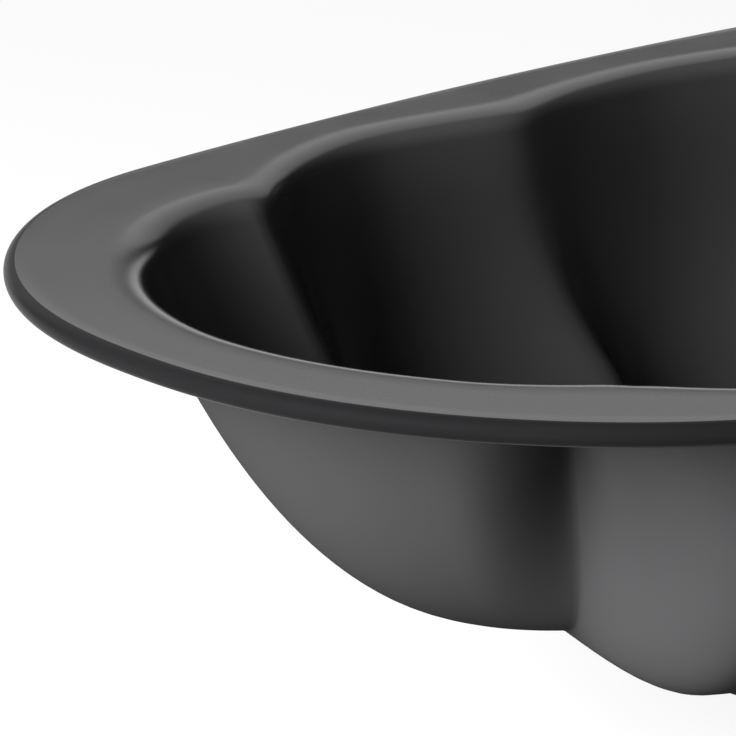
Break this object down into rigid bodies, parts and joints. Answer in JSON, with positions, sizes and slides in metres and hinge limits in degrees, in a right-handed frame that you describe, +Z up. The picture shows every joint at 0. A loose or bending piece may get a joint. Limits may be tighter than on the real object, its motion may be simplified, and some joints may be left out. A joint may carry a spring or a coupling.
{
  "type": "braided loaf pan",
  "caption": "Dark non-stick braid-shaped loaf pan: one deep-drawn steel pressing with lobed strands, a flat flange and a rim rolled round a wire.",
  "frame": {"origin": "middle of the bounding box in plan, on the plane that the pan stands on", "axes": "+X along the pan, +Y across it to the back, +Z up out of the mouth"},
  "size_m": [0.374, 0.162, 0.064],
  "materials": {
    "nonstick_coating": "satin",
    "rim_wire_steel": "satin"
  },
  "bodies": {
    "root": {"pan_shell": "nonstick_coating", "rim_wire": "rim_wire_steel"}
  },
  "joints": []
}
